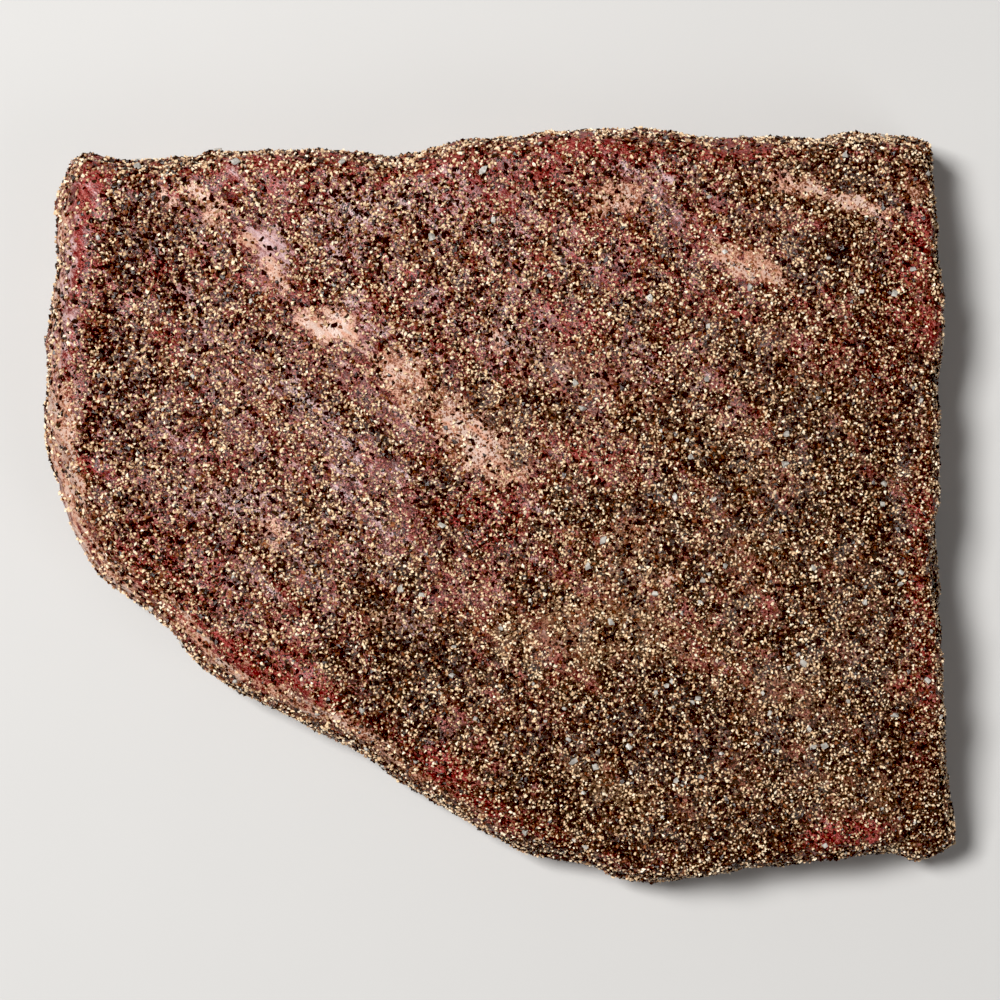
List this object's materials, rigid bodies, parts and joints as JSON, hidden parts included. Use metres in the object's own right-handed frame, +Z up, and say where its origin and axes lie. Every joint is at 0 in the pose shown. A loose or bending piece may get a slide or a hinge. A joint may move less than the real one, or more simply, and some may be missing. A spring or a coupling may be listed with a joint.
{
  "type": "seasoned raw beef brisket",
  "caption": "Raw beef brisket flat rubbed with cracked pepper and coarse salt, a thick slab with a slanting lower edge that lies flat.",
  "frame": {"origin": "middle of the footprint's bounding box, on the surface that the meat rests on", "axes": "+X along the longer side, +Y across it towards the straight long edge, +Z up from the fat side to the top"},
  "size_m": [0.2656, 0.2192, 0.0411],
  "materials": {
    "beef": "moist raw beef, dull red with pink fat seams, satin",
    "cracked_pepper": "rough broken chips, black husk and cream core",
    "coarse_salt": "cloudy crystals, slightly wet"
  },
  "bodies": {
    "root": {"brisket": "beef"}
  },
  "joints": []
}
